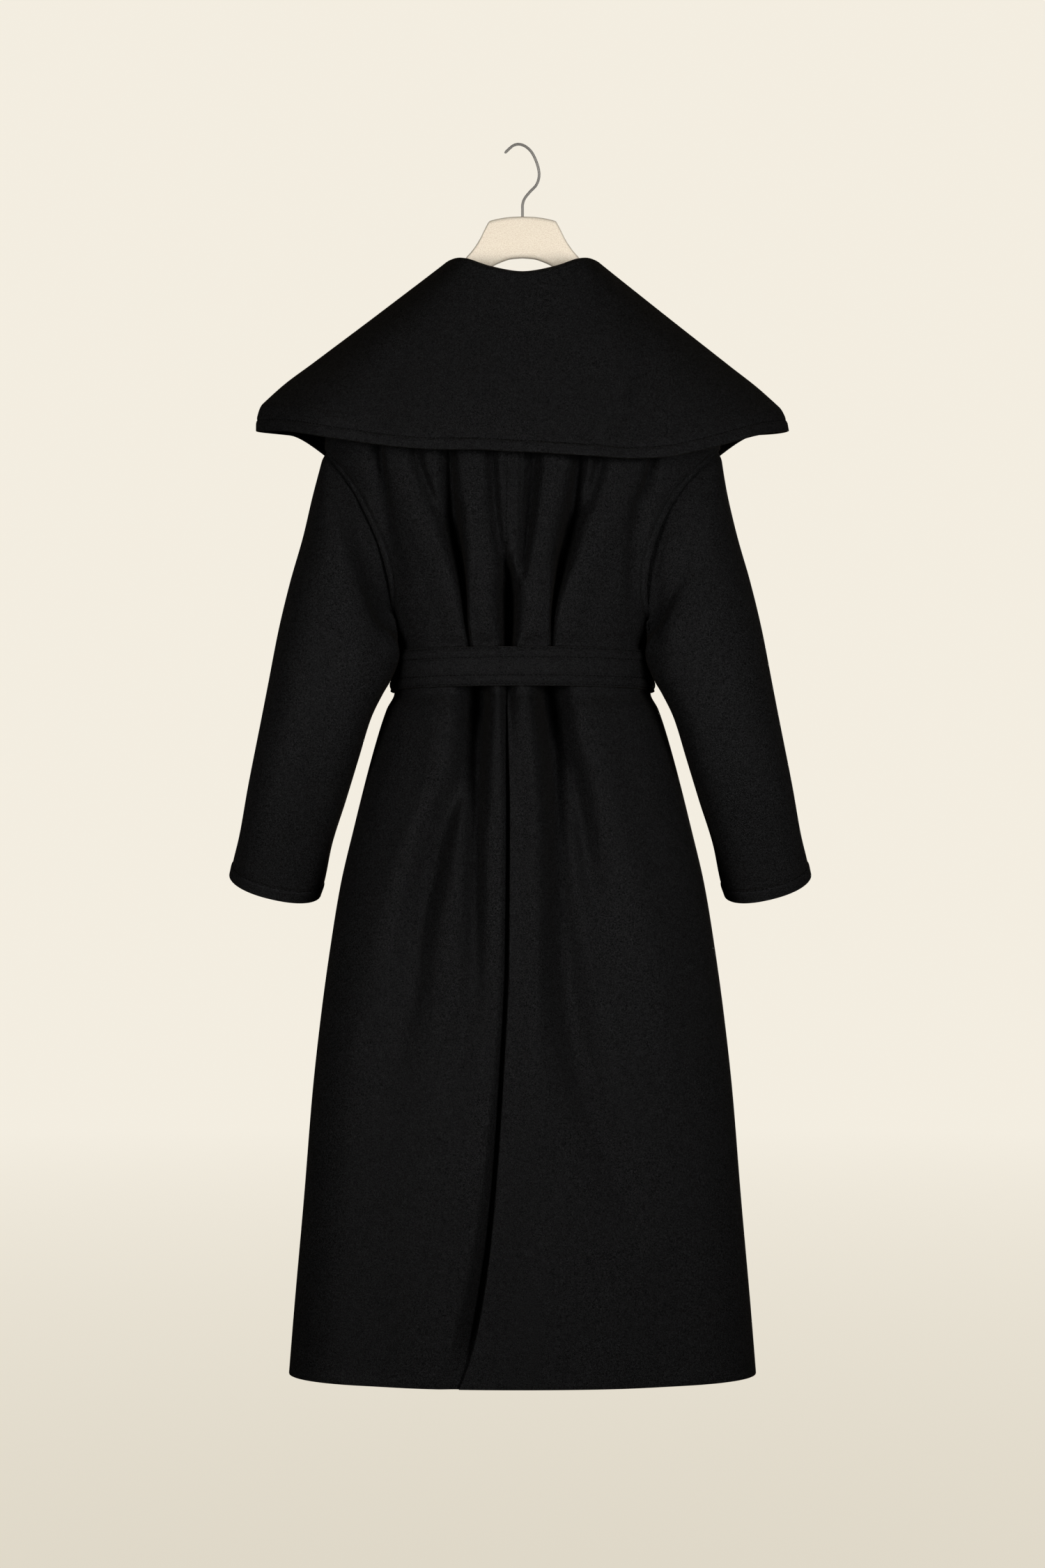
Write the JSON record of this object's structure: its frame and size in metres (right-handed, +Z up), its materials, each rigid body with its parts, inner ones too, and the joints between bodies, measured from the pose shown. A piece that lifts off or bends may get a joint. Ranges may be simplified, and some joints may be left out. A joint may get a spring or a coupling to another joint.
{
  "type": "belted coat on hanger",
  "caption": "Long belted wool coat with a wide cape-like shawl collar, gathered at the waist by a self-cloth belt, hung on a moulded hanger with a wire hook.",
  "frame": {"origin": "inside top of the hanger's hook, where it sits on a rail", "axes": "+Z up along the coat's length, -Y the way the coat's back faces, +X to the wearer's right"},
  "size_m": [0.6482, 0.2311, 1.3589],
  "materials": {
    "wool": "brushed wool",
    "hanger_plastic": "speckled matte",
    "hook_steel": "satin"
  },
  "bodies": {
    "root": {"back_left": "wool", "back_right": "wool", "front_left": "wool", "front_right": "wool", "sleeve_top_left": "wool", "sleeve_under_left": "wool", "sleeve_top_right": "wool", "sleeve_under_right": "wool", "collar": "wool", "belt_band": "wool", "belt_knot": "wool", "belt_end_left": "wool", "belt_end_right": "wool", "hanger_body": "hanger_plastic", "hanger_hook": "hook_steel"}
  },
  "joints": []
}
